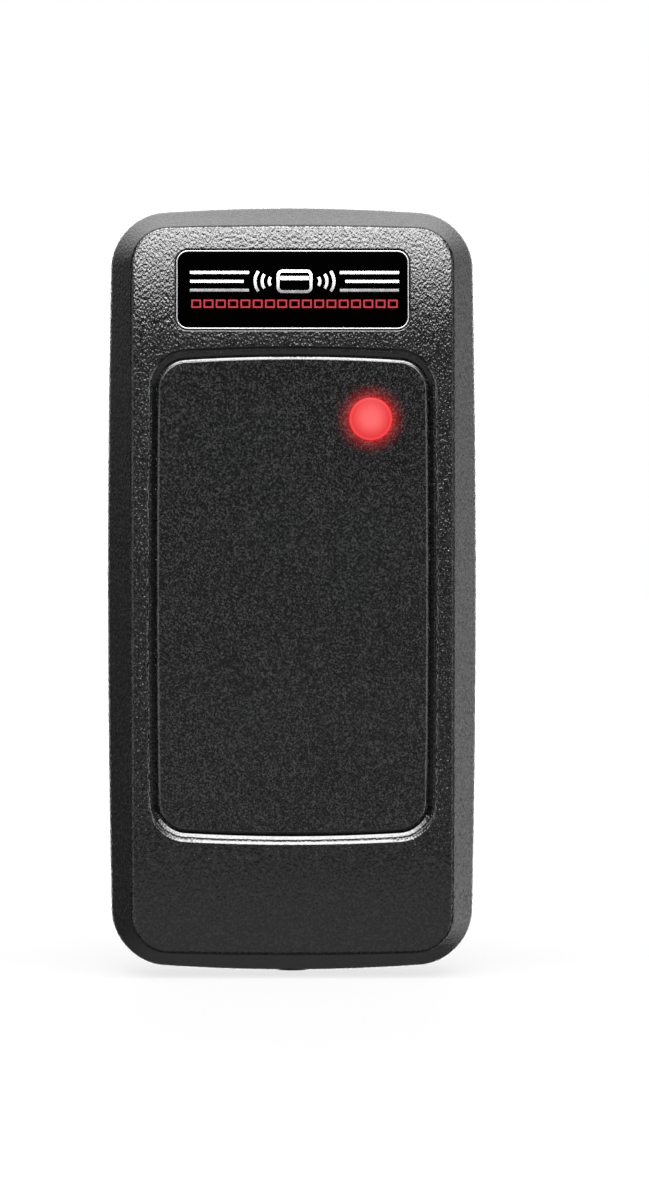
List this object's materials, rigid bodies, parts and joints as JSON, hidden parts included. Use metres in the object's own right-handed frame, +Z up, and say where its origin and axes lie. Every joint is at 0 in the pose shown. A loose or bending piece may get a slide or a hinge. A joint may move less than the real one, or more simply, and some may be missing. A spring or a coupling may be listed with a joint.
{
  "type": "card reader",
  "caption": "Slim wall-mounted proximity card reader with a tilting front cover, framed card panel, badge plate and round indicator lens over a wall tray that holds the board and antenna coil.",
  "frame": {"origin": "middle of the tray's back face, on the wall", "axes": "+X to the right seen from the front, +Y into the wall (the front faces -Y), +Z up"},
  "size_m": [0.04, 0.0132, 0.0825],
  "materials": {
    "cover_plastic": "fine spark-eroded texture",
    "panel_plastic": "finer texture than the cover",
    "badge_gloss": null,
    "lens_red": "diffusing red acrylic, lit",
    "tray_plastic": "moulded, lightly textured",
    "resin": "cast, smooth",
    "board": "green solder mask",
    "copper_wire": "enamelled copper",
    "chip_black": "moulded epoxy",
    "tinned": "tin plated",
    "solder": "bright solder",
    "crystal_can": "drawn nickel-plated can",
    "capacitor_can": "satin",
    "ceramic_tan": "fired ceramic",
    "disc_brass": "rolled",
    "header_cream": "nylon",
    "pin_gold": "gold flash",
    "led_white": "white reflector cup",
    "emitter_red": "clear resin over the die",
    "screw_steel": "zinc plated",
    "screw_black": "black zinc",
    "window_clear": "clear acrylic"
  },
  "bodies": {
    "base": {"base_tray": "tray_plastic", "potting_resin": "resin", "circuit_board": "board", "antenna_coil": "copper_wire", "coil_leads": "copper_wire", "microcontroller": "chip_black", "microcontroller_leads": "tinned", "reader_chip": "chip_black", "reader_chip_leads": "tinned", "voltage_regulator": "chip_black", "regulator_leads": "tinned", "clock_crystal": "crystal_can", "crystal_pins": "tinned", "filter_capacitor": "capacitor_can", "filter_capacitor_base": "chip_black", "ceramic_capacitors": "ceramic_tan", "chip_resistors": "chip_black", "chip_terminals": "solder", "protection_diodes": "chip_black", "diode_terminals": "tinned", "buzzer_case": "chip_black", "buzzer_disc": "disc_brass", "buzzer_pins": "tinned", "header_housing": "header_cream", "header_pins": "pin_gold", "status_led": "led_white", "led_emitter": "emitter_red", "led_terminals": "tinned", "solder_joints": "solder", "board_screws": "screw_steel", "tamper_sensor": "chip_black", "tamper_window": "window_clear", "cover_screw": "screw_black"},
    "cover": {"front_cover": "cover_plastic", "front_panel": "panel_plastic", "badge_plate": "badge_gloss", "indicator_lens": "lens_red"}
  },
  "joints": [
    {"name": "cover_tilt", "type": "hinge", "parent": "base", "child": "cover", "pos_m": [0, -0.0011, 0.04025], "axis": [-1, 0, 0], "range_deg": [0, 90]}
  ]
}
